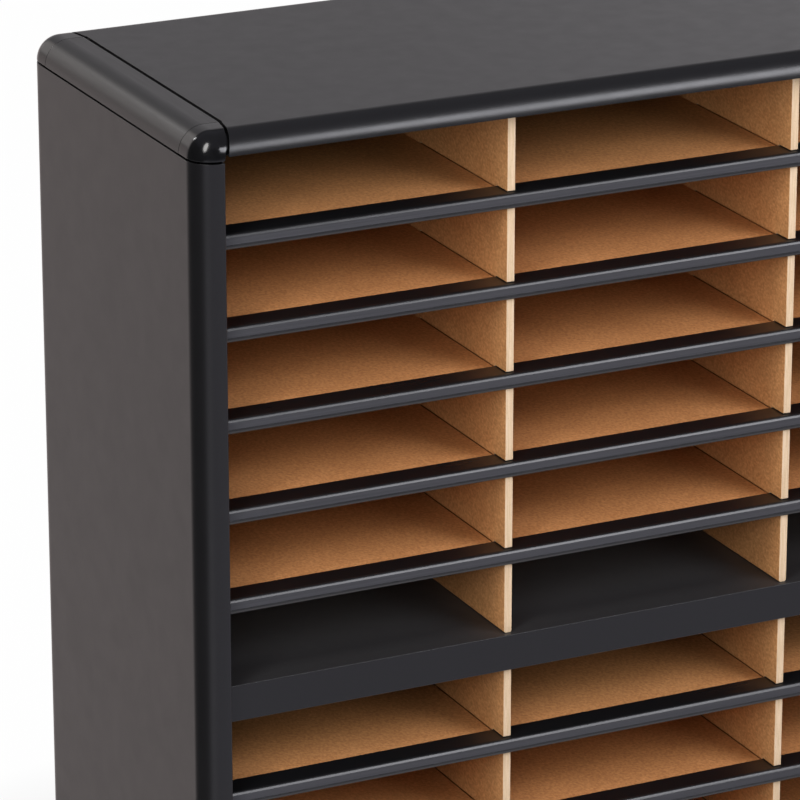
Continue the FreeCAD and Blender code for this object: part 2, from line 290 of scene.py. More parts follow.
# Sawn edge of the board: paler, with a faint saw streak and loose fibre ends
def makeBoardEdge():
    finish, tree = startFinish("boardEdge", boardEdge)
    streaks = grain(tree, boardEdge["streak"], boardEdge["streakStretch"])
    colours = [boardEdge[key] for key in ("deep", "core", "pale")]
    tone = shades(tree, streaks, boardEdge["tones"], colours)
    fuzz = grain(tree, boardEdge["fuzz"])
    specks = shades(tree, fuzz, boardEdge["speckRange"], (boardEdge["speckDark"], white))
    tone = mixColours(tree, 1.0, tone, specks, "MULTIPLY")
    roughness = spread(tree, fuzz, *boardEdge["roughness"])
    return dress(finish, tone, roughness, fuzz, boardEdge["fuzzDepth"])


zincPlate = dict(
    dark=(0.42, 0.42, 0.43), light=(0.62, 0.62, 0.63),
    plain=0.34, roughness=(0.26, 0.42), specular=0.5, metallic=1.0,
    bloom=(380, 4.0), pit=(1500, 2.0), pitDepth=0.01 * mm,
)


def makeZincPlate():
    finish, tree = startFinish("zincPlate", zincPlate)
    bloom = grain(tree, zincPlate["bloom"])
    colour = shades(tree, bloom, toneRange, (zincPlate["dark"], zincPlate["light"]))
    roughness = spread(tree, bloom, *zincPlate["roughness"])
    return dress(finish, colour, roughness, grain(tree, zincPlate["pit"]), zincPlate["pitDepth"])


finishes = dict(
    coat=makePowderCoat("powderCoat", powderCoat),
    floorTopMatteAndPaintedLight=makePowderCoat("floorTopMatteAndPaintedLight", floorTopMatteAndPaintedLight),
    rail=makeRailSatin(), cap=makeCapGloss(), edge=makeBoardEdge(), zinc=makeZincPlate(),
    moulding=makeMoulding("mouldingBlack", mouldingBlack),
    label=makeMoulding("labelGrey", labelGrey),
)
for name, tint in boardTints.items():
    finishes[name] = makeBoardFace(name, tint)
print("organizer: finishes made,", len(finishes))


# Mesh helpers

def cornersIn(geom):
    return [part for part in geom if isinstance(part, bmesh.types.BMVert)]


def edgesIn(geom):
    return [part for part in geom if isinstance(part, bmesh.types.BMEdge)]


# Draws edges out into a strip, and gives the far corners and the far edges
def drawOut(bm, edges, sweep):
    made = bmesh.ops.extrude_edge_only(bm, edges=edges)["geom"]
    corners = cornersIn(made)
    bmesh.ops.translate(bm, vec=sweep, verts=corners)
    far = [edge for edge in edgesIn(made) if all(corner in corners for corner in edge.verts)]
    return corners, far


def pullFaces(bm, faces, sweep):
    corners = cornersIn(bmesh.ops.extrude_face_region(bm, geom=faces)["geom"])
    bmesh.ops.translate(bm, vec=sweep, verts=corners)
    return corners


def foldedSheet(points, sweep):
    bm = bmesh.new()
    corners = [bm.verts.new(point) for point in points]
    drawOut(bm, [bm.edges.new(pair) for pair in zip(corners, corners[1:])], sweep)
    return bm


def solidBar(points, sweep):
    bm = bmesh.new()
    pullFaces(bm, [bm.faces.new([bm.verts.new(point) for point in points])], sweep)
    return bm


def block(bm, low, high):
    size = [b - a for a, b in zip(low, high)]
    middle = [(a + b) / 2 for a, b in zip(low, high)]
    place = Matrix.Translation(middle) @ Matrix.Diagonal((*size, 1))
    bmesh.ops.create_cube(bm, size=1, matrix=place)


def near(value, target):
    return abs(value - target) < touch


# Edges that lie wholly on the planes given by axis
def edgesAt(bm, **planes):
    return [edge for edge in bm.edges
            if all(near(getattr(corner.co, axis), value)
                   for corner in edge.verts for axis, value in planes.items())]


def runsDeep(edge):
    return abs(edge.verts[0].co.y - edge.verts[1].co.y) > mm


def facesWhere(bm, test):
    return [face for face in bm.faces if test(face.calc_center_median())]


def roundOver(bm, edges, radius, segments):
    bmesh.ops.bevel(bm, geom=edges, offset=radius, offset_type="OFFSET", segments=segments,
                    profile=0.5, affect="EDGES", material=-1, clamp_overlap=False)


# Cuts faces by a plane; with no faces given it cuts the whole mesh
def saw(bm, point, way, faces=None, clear=False):
    if faces is None:
        geom = bm.verts[:] + bm.edges[:] + bm.faces[:]
    else:
        geom = list(faces)
        geom += dict.fromkeys(edge for face in faces for edge in face.edges)
        geom += dict.fromkeys(corner for face in faces for corner in face.verts)
    return bmesh.ops.bisect_plane(bm, geom=geom, dist=weld, plane_co=point, plane_no=way,
                                  clear_outer=clear)["geom_cut"]


def sliceOff(bm, point, outward):
    bmesh.ops.edgeloop_fill(bm, edges=edgesIn(saw(bm, point, outward, clear=True)))


def trimZone(bm, inZone, point, inward):
    saw(bm, point, inward, facesWhere(bm, inZone))
    point, inward = Vector(point), Vector(inward)
    waste = facesWhere(bm, lambda p: inZone(p) and (p - point).dot(inward) < 0)
    bmesh.ops.delete(bm, geom=waste, context="FACES")


# A board cut from one face: sawn at the slots, the waste taken out, then given its thickness
def slottedBoard(low, high, slots, thickness):
    bm = bmesh.new()
    bmesh.ops.create_grid(bm, x_segments=1, y_segments=1, size=0.5)
    bmesh.ops.scale(bm, vec=(high[0] - low[0], high[1] - low[1], 1), verts=bm.verts)
    middle = ((low[0] + high[0]) / 2, (low[1] + high[1]) / 2, 0)
    bmesh.ops.translate(bm, vec=middle, verts=bm.verts)
    for slot in slots:
        for number, value in enumerate(slot):
            way = Vector((0, 1, 0) if number % 2 else (1, 0, 0))
            saw(bm, way * value, way)
    waste = facesWhere(bm, lambda p: any(slot[0] < p.x < slot[2] and slot[1] < p.y < slot[3]
                                         for slot in slots))
    bmesh.ops.delete(bm, geom=waste, context="FACES")
    bmesh.ops.dissolve_limit(bm, angle_limit=flatTurn, verts=bm.verts[:], edges=bm.edges[:])
    pullFaces(bm, bm.faces[:], (0, 0, thickness))
    return bm


# A blind saw cut in the top of a board, between two corners
def sinkKerf(bm, low, high, top, depth):
    across, along = Vector((1, 0, 0)), Vector((0, 1, 0))
    for way, value in ((across, low[0]), (across, high[0]), (along, low[1]), (along, high[1])):
        upper = [face for face in bm.faces if all(near(v.co.z, top) for v in face.verts)]
        saw(bm, way * value, way, upper)
    sunk = facesWhere(bm, lambda p: near(p.z, top) and low[0] < p.x < high[0]
                      and low[1] < p.y < high[1])
    pullFaces(bm, sunk, (0, 0, -depth))
    bmesh.ops.delete(bm, geom=sunk, context="FACES_ONLY")


def flipped(bm, vec):
    bmesh.ops.scale(bm, vec=vec, verts=bm.verts)
    bmesh.ops.reverse_faces(bm, faces=bm.faces)
    return bm


def bothSides(make):
    return ("Left", make()), ("Right", flipped(make(), (-1, 1, 1)))


# Turns an open sheet's faces the same way, so that the picked one looks along way
def faceOut(bm, pick, way):
    bmesh.ops.recalc_face_normals(bm, faces=bm.faces)
    if max(bm.faces, key=pick).normal.dot(way) < 0:
        bmesh.ops.reverse_faces(bm, faces=bm.faces)


def mergeIn(whole, bm):
    bit = bpy.data.meshes.new("bit")
    bm.to_mesh(bit)
    bm.free()
    whole.from_mesh(bit)
    bpy.data.meshes.remove(bit)


fitting = dict(easeAngle=math.radians(35), flatWeight=80)


# Puts a mesh in the scene on its body, with its wall thickness and eased edges as live modifiers
def fitPiece(name, bm, looks, body, nodes,
             wall=0.0, ease=0.0, easeSegments=2, keepSides=False):
    bmesh.ops.remove_doubles(bm, verts=bm.verts, dist=weld)
    if not keepSides:
        bmesh.ops.recalc_face_normals(bm, faces=bm.faces)
    mesh = bpy.data.meshes.new(name)
    bm.to_mesh(mesh)
    bm.free()
    for look in looks:
        mesh.materials.append(finishes[look])
    mesh.shade_smooth()
    piece = bpy.data.objects.new(name, mesh)
    bpy.context.scene.collection.objects.link(piece)
    if wall:
        thick = piece.modifiers.new("wall", "SOLIDIFY")
        thick.thickness = wall
        thick.offset = -1
        thick.use_even_offset = True
    if ease:
        eased = piece.modifiers.new("ease", "BEVEL")
        eased.width = ease
        eased.segments = easeSegments
        eased.limit_method = "ANGLE"
        eased.angle_limit = fitting["easeAngle"]
        eased.material = -1
    shading = piece.modifiers.new("shading", "WEIGHTED_NORMAL")
    shading.weight = fitting["flatWeight"]
    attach(piece, body)
    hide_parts(*nodes)


# Sides: an outer skin folded round both upright edges, with returns at the opening

sidePanel = dict(hem=14 * mm, seam=1.8 * mm, innerRadius=1.7 * mm, innerSegments=5,
                 segments=28, ease=0.3 * mm)


def sideSkin():
    face = case["left"] + case["postWidth"]
    front, back, left = case["front"], case["back"], case["left"]
    plan = ((face, front + sidePanel["hem"]), (face, front), (left, front),
            (left, back), (face, back), (face, back - sidePanel["hem"]))
    bm = foldedSheet([(x, y, 0) for x, y in plan], (0, 0, case["postTop"] - sidePanel["seam"]))
    for y in (front, back):
        roundOver(bm, edgesAt(bm, x=left, y=y), case["edgeRadius"], sidePanel["segments"])
        roundOver(bm, edgesAt(bm, x=face, y=y),
                  sidePanel["innerRadius"], sidePanel["innerSegments"])
    faceOut(bm, lambda f: near(f.calc_center_median().x, left), Vector((-1, 0, 0)))
    return bm


for side, bm in bothSides(sideSkin):
    fitPiece("sidePanel" + side, bm, ["coat"], "case",
             ["side_panel_" + side.lower()],
             wall=case["sheet"], ease=sidePanel["ease"], keepSides=True)

# Inner walls: flush with the returns, with stepped edges behind them

innerWall = dict(clear=14.3 * mm, stepEnd=22 * mm, stepStart=1.5 * mm, ease=0.25 * mm)


def wallLiner():
    face = case["left"] + case["postWidth"]
    sheet, clear = case["sheet"], innerWall["clear"]
    start, end = innerWall["stepStart"], innerWall["stepEnd"]
    half = ((face, clear), (face - sheet, clear), (face - sheet, start),
            (face - 2 * sheet, start), (face - 2 * sheet, end), (face - sheet, end))
    plan = [(x, case["front"] + y) for x, y in half]
    plan += [(x, case["back"] - y) for x, y in reversed(half)]
    return solidBar([(x, y, 0) for x, y in plan], (0, 0, case["postTop"]))


for side, bm in bothSides(wallLiner):
    fitPiece("innerWall" + side, bm, ["coat"], "case",
             ["inner_wall_" + side.lower()], ease=innerWall["ease"])
print("organizer: sides fitted")

# Rails along the top edges: a quarter round, a flat land, and a ledge under the top panel

topRail = dict(width=34 * mm, ledge=10 * mm, wall=2 * mm, legDrop=28 * mm, capDepth=35 * mm,
               grooveWidth=3.5 * mm, grooveDepth=5 * mm, roundSet=0.01 * mm, segments=28,
               ease=0.5 * mm)


def railBar():
    left, top, postTop = case["left"], case["top"], case["postTop"]
    sheet, wall = case["sheet"], topRail["wall"]
    face = left + case["postWidth"]
    land, under = left + topRail["width"], top - sheet - wall
    start = case["front"] + topRail["capDepth"] + case["fitGap"]
    groove, deep = land + topRail["grooveWidth"], top - topRail["grooveDepth"]
    ledge, leg, foot = land + topRail["ledge"], face - sheet, postTop - topRail["legDrop"]
    section = ((left, postTop), (left, top), (land, top), (land, deep), (groove, deep),
               (groove, top - sheet), (ledge, top - sheet), (ledge, under),
               (groove + wall, under), (groove + wall, deep - wall), (face, deep - wall),
               (face, postTop), (leg, postTop), (leg, foot), (leg - wall, foot),
               (leg - wall, postTop))
    bm = solidBar([(x, start, z) for x, z in section], (0, -2 * start, 0))
    radius = case["edgeRadius"] - topRail["roundSet"]
    roundOver(bm, edgesAt(bm, x=left, z=top), radius, topRail["segments"])
    return bm


for side, bm in bothSides(railBar):
    fitPiece("topRail" + side, bm, ["rail"], "case", ["top_rail_" + side.lower()],
             ease=topRail["ease"], easeSegments=3)

# Corner caps: a ball corner, cut square to the rail and slanted along the top panel

cornerCap = dict(seamFront=24 * mm, slope=10 / 56, segments=18, roughRadii=3, pegDrop=24 * mm,
                 pegMiddle=14.7 * mm, pegHalf=5.4 * mm, pegGap=0.02 * mm, tongueEnd=43 * mm,
                 tongueSet=4.0 * mm, tongueLift=3.3 * mm, tongueRound=0.1 * mm,
                 tongueSeam=0.05 * mm, ease=0.4 * mm)


# Tongue that closes the seam from behind: it lies inside the rolled end of the top panel
def capTongue(left, front, top, postTop):
    inset, slope = cornerCap["tongueSet"], cornerCap["slope"]
    bm = bmesh.new()
    block(bm, (left, front + inset, postTop + cornerCap["tongueLift"]),
          (left + cornerCap["tongueEnd"], front + topRail["capDepth"] - inset, top - inset))
    roundOver(bm, edgesAt(bm, y=front + inset, z=top - inset),
              case["edgeRadius"] - inset - cornerCap["tongueRound"], cornerCap["segments"])
    seam = (left + cornerCap["seamFront"] + cornerCap["tongueSeam"], front, postTop)
    sliceOff(bm, seam, Vector((-1, slope, slope)).normalized())
    return bm


def ballCap():
    left, front, top, postTop = case["left"], case["front"], case["top"], case["postTop"]
    radius, slope = case["edgeRadius"], cornerCap["slope"]
    bm = bmesh.new()
    rough = cornerCap["roughRadii"] * radius
    block(bm, (left, front, postTop - radius), (left + rough, front + rough, top))
    corner = Vector((left, front, top))
    meeting = [edge for edge in bm.edges if any((v.co - corner).length < mm for v in edge.verts)]
    roundOver(bm, meeting, radius, cornerCap["segments"])
    sliceOff(bm, (left, front, postTop), (0, 0, -1))
    sliceOff(bm, (left, front + topRail["capDepth"], postTop), (0, 1, 0))
    seam = (left + cornerCap["seamFront"], front, postTop)
    sliceOff(bm, seam, Vector((1, -slope, -slope)).normalized())
    mergeIn(bm, capTongue(left, front, top, postTop))
    middle, half = cornerCap["pegMiddle"], cornerCap["pegHalf"]
    block(bm, (left + middle - half, front + middle - half, postTop - cornerCap["pegDrop"]),
          (left + middle + half, front + middle + half, postTop - cornerCap["pegGap"]))
    return bm


for side in ("Left", "Right"):
    for end in ("Front", "Back"):
        bm = ballCap()
        if end == "Back":
            flipped(bm, (1, -1, 1))
        if side == "Right":
            flipped(bm, (-1, 1, 1))
        node = end.lower() + "_corner_cap_" + side.lower()
        fitPiece("cornerCap" + end + side, bm, ["cap"], "case", [node],
                 ease=cornerCap["ease"], easeSegments=3)
print("organizer: rails and caps fitted")

# Top panel: one sheet rolled over at the front and the back

topPanel = dict(half=385.5 * mm, rollBottom=947 * mm, foldEnd=-154.2 * mm, lipDrop=14 * mm,
                railSeam=3.3 * mm, capSeam=2.7 * mm, segments=28, ease=0.3 * mm)


def topSheet():
    front, back, top, postTop = case["front"], case["back"], case["top"], case["postTop"]
    half, low = topPanel["half"], topPanel["rollBottom"]
    spare = postTop - case["edgeRadius"]
    section = ((front, spare), (front, top), (back, top), (back, spare))
    bm = foldedSheet([(-half, y, z) for y, z in section], (2 * half, 0, 0))
    for y in (front, back):
        roundOver(bm, edgesAt(bm, y=y, z=top), case["edgeRadius"], topPanel["segments"])
    saw(bm, (0, 0, low), (0, 0, -1), clear=True)
    rollStart = min(v.co.y for v in bm.verts if near(v.co.z, low))
    drawOut(bm, edgesAt(bm, y=rollStart, z=low), (0, topPanel["foldEnd"] - rollStart, 0))
    drawOut(bm, edgesAt(bm, y=-rollStart, z=low), (0, case["backFront"] + rollStart, 0))
    drawOut(bm, edgesAt(bm, y=case["backFront"], z=low), (0, 0, -topPanel["lipDrop"]))
    faceOut(bm, lambda f: f.calc_area(), Vector((0, 0, 1)))
    # ends: slanted beside the caps, straight beside the rails
    capFront, capBack = front + topRail["capDepth"], back - topRail["capDepth"]
    for y in (capFront, capBack):
        saw(bm, (0, y, 0), (0, 1, 0))
    slope, rolled = cornerCap["slope"], low - mm
    for way in (1, -1):
        edgeX = way * (case["left"] + topRail["width"] + topPanel["railSeam"])
        seamX = way * (case["left"] + cornerCap["seamFront"] + topPanel["capSeam"])
        lipX = way * (-case["openingHalf"] + case["fitGap"])
        trimZone(bm, lambda p: capFront < p.y < capBack, (edgeX, 0, top), (way, 0, 0))
        trimZone(bm, lambda p: p.y < capFront and p.z > rolled,
                 (seamX, front, postTop), (way, -slope, -slope))
        trimZone(bm, lambda p: p.y > capBack and p.z > rolled,
                 (seamX, back, postTop), (way, slope, -slope))
        trimZone(bm, lambda p: p.z < rolled, (lipX, 0, low), (way, 0, 0))
    return bm


fitPiece("topPanel", topSheet(), ["coat"], "case", ["top_panel"],
         wall=case["sheet"], ease=topPanel["ease"], keepSides=True)

# Steel floors: shallow trays turned upside down, with folded edges

middleFloor = dict(top=case["midTop"], drop=31 * mm, fold=3.8 * mm, ease=1.5 * mm)
baseFloor = dict(top=case["baseTop"], drop=31 * mm, fold=11 * mm, ease=1.5 * mm)


def steelTray(look):
    half, low = case["openingHalf"] - case["fitGap"], look["top"] - look["drop"]
    bm = bmesh.new()
    block(bm, (-half, case["mouldingFront"], low), (half, case["backFront"], look["top"]))
    bm.normal_update()
    for face in bm.faces:
        # up-facing faces take the lighter floor finish: painted light on the same painted sheet
        face.material_index = 1 if face.normal.z > mostly else 0
    under = [face for face in bm.faces if face.normal.z < -mostly]
    bmesh.ops.delete(bm, geom=under, context="FACES_ONLY")
    drawOut(bm, edgesAt(bm, y=case["mouldingFront"], z=low), (0, look["fold"], 0))
    return bm


fitPiece("middleFloor", steelTray(middleFloor), ["coat", "floorTopMatteAndPaintedLight"], "case",
         ["middle_floor"], wall=case["sheet"], ease=middleFloor["ease"], easeSegments=3)

bm = steelTray(baseFloor)
drawOut(bm, edgesAt(bm, y=case["backFront"], z=0), (0, -baseFloor["fold"], 0))
fitPiece("baseFloor", bm, ["coat", "floorTopMatteAndPaintedLight"], "case", ["base_floor"],
         wall=case["sheet"], ease=baseFloor["ease"], easeSegments=3)
print("organizer: top and floors fitted")

# Back panel: a fibreboard sheet set in from the back of the case

backPanel = dict(low=0.3 * mm, high=943.7 * mm, cornerRadius=4 * mm, segments=4, ease=0.7 * mm)

bm = bmesh.new()
backHalf = case["openingHalf"] - case["fitGap"]
block(bm, (-backHalf, case["backFront"], backPanel["low"]),
      (backHalf, case["backFace"], backPanel["high"]))
deepEdges = [edge for edge in bm.edges if runsDeep(edge)]
roundOver(bm, deepEdges, backPanel["cornerRadius"], backPanel["segments"])
bm.normal_update()
for part in bm.faces:
    part.material_index = 0 if abs(part.normal.y) > mostly else 1
fitPiece("backPanel", bm, ["backBoard", "edge"], "case", ["back_panel"],
         ease=backPanel["ease"])

# Dividers: upright boards, slotted from the front for the shelves and notched for their mouldings

divider = dict(thickness=7 * mm, footRadius=1.9 * mm, footSegments=5, slotGap=0.7 * mm,
               notchGap=0.6 * mm, shelfThickness=5 * mm, mouldingWall=1.2 * mm, ease=0.45 * mm,
               heads=dict(lower=499.8 * mm, upper=959.23 * mm))


def dividerBoard(x, floor, head):
    start, gap = case["dividerFront"] - mm, divider["notchGap"]
    notchEnd = case["mouldingFront"] + case["flangeDepth"] + gap
    slots = []
    for level in shelfLevels(floor):
        shelfTop = level - divider["mouldingWall"]
        under = shelfTop - divider["shelfThickness"]
        slots.append((start, under, case["lapLine"], shelfTop + divider["slotGap"]))
        slots.append((start, under - divider["mouldingWall"] - gap, notchEnd, level + gap))
    bm = slottedBoard((case["dividerFront"], floor), (case["boardBack"], head), slots,
                      divider["thickness"])
    # lay the cut board upright: its length along y, its height along z
    face = x - divider["thickness"] / 2
    upright = Matrix(((0, 0, 1, face), (1, 0, 0, 0), (0, 1, 0, 0), (0, 0, 0, 1)))
    bmesh.ops.transform(bm, matrix=upright, verts=bm.verts)
    bmesh.ops.recalc_face_normals(bm, faces=bm.faces)
    for part in bm.faces:
        part.material_index = 0 if abs(part.normal.x) > mostly else 1
    foot = [edge for edge in edgesAt(bm, z=floor) if runsDeep(edge)]
    roundOver(bm, foot, divider["footRadius"], divider["footSegments"])
    return bm


for bank, floor in banks:
    for side, x in (("Left", -case["dividerX"]), ("Right", case["dividerX"])):
        bm = dividerBoard(x, floor, divider["heads"][bank])
        fitPiece("divider" + bank.capitalize() + side, bm, ["dividerBoard", "edge"], "case",
                 ["divider_" + bank + "_" + side.lower()], ease=divider["ease"])
print("organizer: back and dividers fitted")

# Shelves: flat boards slotted from the back for the dividers, each with a label moulding on its
# front edge. Blind saw cuts run on from the slots towards the front.

shelf = dict(thickness=5 * mm, endGap=1 * mm, slotReach=4.1 * mm, lapGap=0.05 * mm,
             kerfInner=2.9 * mm, kerfDepth=3.4 * mm, kerfStart=-133.0 * mm, bridge=0.9 * mm,
             ease=0.4 * mm)
moulding = dict(wall=1.2 * mm, faceHeight=13 * mm, legDepth=14.5 * mm, ridgeRadius=3.4 * mm,
                ridgeTurn=math.radians(57), ridgeSteps=10, ridgeSet=0.1 * mm, chamfer=1.5 * mm,
                channelBottom=8.7 * mm, channelSet=0.45 * mm, channelFoot=0.2 * mm,
                grooveBottom=9.2 * mm, grooveSet=0.6 * mm, lipSet=0.4 * mm, lipRadius=3.0 * mm,
                lipSegments=4, ease=0.15 * mm)


def shelfBoard(level):
    half, reach = case["openingHalf"] - shelf["endGap"], shelf["slotReach"]
    boardTop = level - moulding["wall"]
    places = (-case["dividerX"], case["dividerX"])
    start, end = case["lapLine"] - shelf["lapGap"], case["boardBack"] + mm
    slots = [(x - reach, start, x + reach, end) for x in places]
    bm = slottedBoard((-half, case["shelfFront"]), (half, case["boardBack"]), slots,
                      shelf["thickness"])
    for x in places:
        for low, high in ((x - reach, x - shelf["kerfInner"]), (x + shelf["kerfInner"], x + reach)):
            sinkKerf(bm, (low, shelf["kerfStart"]), (high, case["lapLine"] - shelf["bridge"]),
                     shelf["thickness"], shelf["kerfDepth"])
    bmesh.ops.translate(bm, vec=(0, 0, boardTop - shelf["thickness"]), verts=bm.verts)
    bmesh.ops.recalc_face_normals(bm, faces=bm.faces)
    for part in bm.faces:
        drop = boardTop - part.calc_center_median().z
        # the groove walls and floor take the darkened finish: painted shade in the joint
        if near(drop, shelf["kerfDepth"] / 2) or near(drop, shelf["kerfDepth"]):
            part.material_index = 2
        else:
            part.material_index = 1 if abs(part.normal.z) < mostly else 0
    return bm


# Section from the ridge round the flange, the leg and the lip to the groove and the label channel
def mouldingBar(level):
    front, inner, wall = case["mouldingFront"], case["shelfFront"], moulding["wall"]
    radius, turn = moulding["ridgeRadius"], moulding["ridgeTurn"]
    chamferY, chamferZ = moulding["chamfer"] * math.cos(turn), moulding["chamfer"] * math.sin(turn)
    ridgeY = front + moulding["ridgeSet"] + chamferY + radius * math.sin(turn)
    steps = moulding["ridgeSteps"]
    angles = [turn * step / steps for step in range(steps, -1, -1)]
    section = [(ridgeY - radius * math.sin(a), level - radius * (1 - math.cos(a))) for a in angles]
    section.insert(0, (section[0][0] - chamferY, section[0][1] - chamferZ))
    channelTop, channelLow = section[0][1], level - moulding["channelBottom"]
    legTop, low = level - wall - shelf["thickness"], level - moulding["faceHeight"]
    flange, leg = front + case["flangeDepth"], inner + moulding["legDepth"]
    lip, groove = front + moulding["lipSet"], front + moulding["grooveSet"]
    grooveLow = level - moulding["grooveBottom"]
    section += [(flange, level), (flange, level - wall), (inner, level - wall), (inner, legTop),
                (leg, legTop), (leg, legTop - wall), (inner, legTop - wall), (inner, low),
                (lip, low), (lip, grooveLow), (groove, grooveLow), (groove, channelLow),
                (front + moulding["channelFoot"], channelLow),
                (front + moulding["channelSet"], channelTop)]
    half = case["openingHalf"] - shelf["endGap"]
    bm = solidBar([(-half, y, z) for y, z in section], (2 * half, 0, 0))
    bm.normal_update()
    for part in facesWhere(bm, lambda p: channelLow < p.z < channelTop and p.y < front + mm):
        if abs(part.normal.y) > mostly:
            part.material_index = 1
    roundOver(bm, edgesAt(bm, y=lip, z=low), moulding["lipRadius"], moulding["lipSegments"])
    return bm


for bank, floor in banks:
    for number, level in enumerate(shelfLevels(floor), 1):
        tag, name = "_".join((bank, str(number))), bank.capitalize() + str(number)
        fitPiece("shelf" + name, shelfBoard(level), ["boardFace", "edge", "paintedKerfShade"],
                 "shelf_" + tag, ["shelf_" + tag], ease=shelf["ease"])
        fitPiece("labelMoulding" + name, mouldingBar(level), ["moulding", "label"],
                 "shelf_" + tag, ["label_moulding_" + tag],
                 ease=moulding["ease"])
print("organizer: shelves and mouldings fitted")

# Shelf clips: bent plates on the inner walls, two under each end of a shelf

clip = dict(reach=9 * mm, width=14 * mm, thickness=1.5 * mm, leg=6.5 * mm, shares=(0.2, 0.72),
            bend=2 * mm, bendSegments=5, noseRadius=2.5 * mm, noseSegments=4, ease=0.25 * mm)


def oneClip(start, under):
    wallX = -case["openingHalf"]
    tip = wallX + clip["reach"]
    line = ((wallX, under - clip["leg"]), (wallX, under), (tip, under))
    bm = foldedSheet([(x, start, z) for x, z in line], (0, clip["width"], 0))
    roundOver(bm, edgesAt(bm, x=wallX, z=under), clip["bend"], clip["bendSegments"])
    nose = [v for v in bm.verts if near(v.co.x, tip)]
    bmesh.ops.bevel(bm, geom=nose, offset=clip["noseRadius"], offset_type="OFFSET",
                    segments=clip["noseSegments"], profile=0.5, affect="VERTICES", material=-1)
    faceOut(bm, lambda f: f.calc_center_median().x, Vector((0, 0, 1)))
    return bm


def clipSet():
    whole = bmesh.new()
    for bank, floor in banks:
        for level in shelfLevels(floor):
            for share in clip["shares"]:
                start = case["front"] + share * (case["back"] - case["front"])
                mergeIn(whole, oneClip(start, level - moulding["wall"] - shelf["thickness"]))
    return whole


for side, bm in bothSides(clipSet):
    fitPiece("shelfClips" + side, bm, ["zinc"], "case",
             ["shelf_clips_" + side.lower()],
             wall=clip["thickness"], ease=clip["ease"], keepSides=True)

# Pan-head screws with a cross recess

screw = dict(radius=2 * mm, length=7 * mm, headRadius=4 * mm, headTop=2 * mm, segments=12,
             recess=1.1 * mm, recessTaper=0.8, crossHalf=1.45 * mm, crossCells=3,
             flatBand=0.01 * mm, ease=0.15 * mm,
             rings=((4.0 * mm, 0.9 * mm), (3.75 * mm, 1.35 * mm), (3.15 * mm, 1.75 * mm),
                    (2.4 * mm, 1.97 * mm)))


def oneScrew(seat, way):
    bm = bmesh.new()
    bmesh.ops.create_circle(bm, segments=screw["segments"], radius=screw["headRadius"])
    loop, radius, height = bm.edges[:], screw["headRadius"], 0.0
    for nextRadius, nextHeight in screw["rings"]:
        corners, loop = drawOut(bm, loop, (0, 0, nextHeight - height))
        bmesh.ops.scale(bm, vec=(nextRadius / radius, nextRadius / radius, 1), verts=corners)
        radius, height = nextRadius, nextHeight
    cells, half = screw["crossCells"], screw["crossHalf"]
    grid = bmesh.ops.create_grid(bm, x_segments=cells, y_segments=cells, size=half)["verts"]
    bmesh.ops.translate(bm, vec=(0, 0, screw["headTop"]), verts=grid)
    square = [edge for edge in bm.edges if edge.is_boundary and all(v in grid for v in edge.verts)]
    bmesh.ops.bridge_loops(bm, edges=loop + square)
    arm, flat = half / cells / 2, screw["headTop"] - screw["flatBand"]
    cross = facesWhere(bm, lambda p: p.z > flat and (abs(p.x) < arm or abs(p.y) < arm))
    sunk = pullFaces(bm, cross, (0, 0, -screw["recess"]))
    bmesh.ops.delete(bm, geom=cross, context="FACES_ONLY")
    bmesh.ops.scale(bm, vec=(screw["recessTaper"], screw["recessTaper"], 1), verts=sunk)
    neck, loop = drawOut(bm, [edge for edge in edgesAt(bm, z=0) if edge.is_boundary], (0, 0, 0))
    shrink = screw["radius"] / screw["headRadius"]
    bmesh.ops.scale(bm, vec=(shrink, shrink, 1), verts=neck)
    drawOut(bm, loop, (0, 0, -screw["length"]))
    bmesh.ops.holes_fill(bm, edges=[edge for edge in bm.edges if edge.is_boundary], sides=0)
    turn = Vector((0, 0, -1)).rotation_difference(Vector(way)).to_matrix().to_4x4()
    bmesh.ops.transform(bm, matrix=Matrix.Translation(seat) @ turn, verts=bm.verts)
    bmesh.ops.recalc_face_normals(bm, faces=bm.faces)
    return bm


screwPlaces = dict(
    floorShares=(0.25, 0.75), railShares=(0.3, 0.7), backShares=(-0.42, -0.14, 0.14, 0.42),
    railDrop=14 * mm, backLevels=(15.5 * mm, 486.5 * mm, 940 * mm),
)


# Seats on both end walls, each with the way that the screw is driven
def endSeats(shares, end, front, back, level):
    return [((way * end, front + share * (back - front), level), (way, 0, 0))
            for share in shares for way in (1, -1)]


def floorSeats(look):
    end = case["openingHalf"] - case["fitGap"] - case["sheet"]
    return endSeats(screwPlaces["floorShares"], end, case["mouldingFront"], case["backFront"],
                    look["top"] - look["drop"] / 2)


railSeats = endSeats(screwPlaces["railShares"], case["openingHalf"], case["front"], case["back"],
                     case["postTop"] - screwPlaces["railDrop"])
backSeats = [((share * 2 * case["openingHalf"], case["backFace"], level), (0, -1, 0))
             for level in screwPlaces["backLevels"] for share in screwPlaces["backShares"]]
screwSets = (
    ("middleFloorScrews", "middle_floor_screws", floorSeats(middleFloor)),
    ("baseFloorScrews", "base_floor_screws", floorSeats(baseFloor)),
    ("railScrews", "rail_screws", railSeats),
    ("backScrews", "back_screws", backSeats),
)
for name, node, seats in screwSets:
    bm = bmesh.new()
    for seat, way in seats:
        mergeIn(bm, oneScrew(seat, way))
    fitPiece(name, bm, ["zinc"], "case", [node],
             ease=screw["ease"], keepSides=True)
print("organizer: clips and screws fitted")

# Studio: a white sweep, a key softbox at the front left, an overhead one at the front right,
# two fills in front and a small light behind

floorLook = dict(size=16.0, colour=(0.80, 0.80, 0.80), glow=(0.45, 0.99), glowReach=(0.40, 0.85))

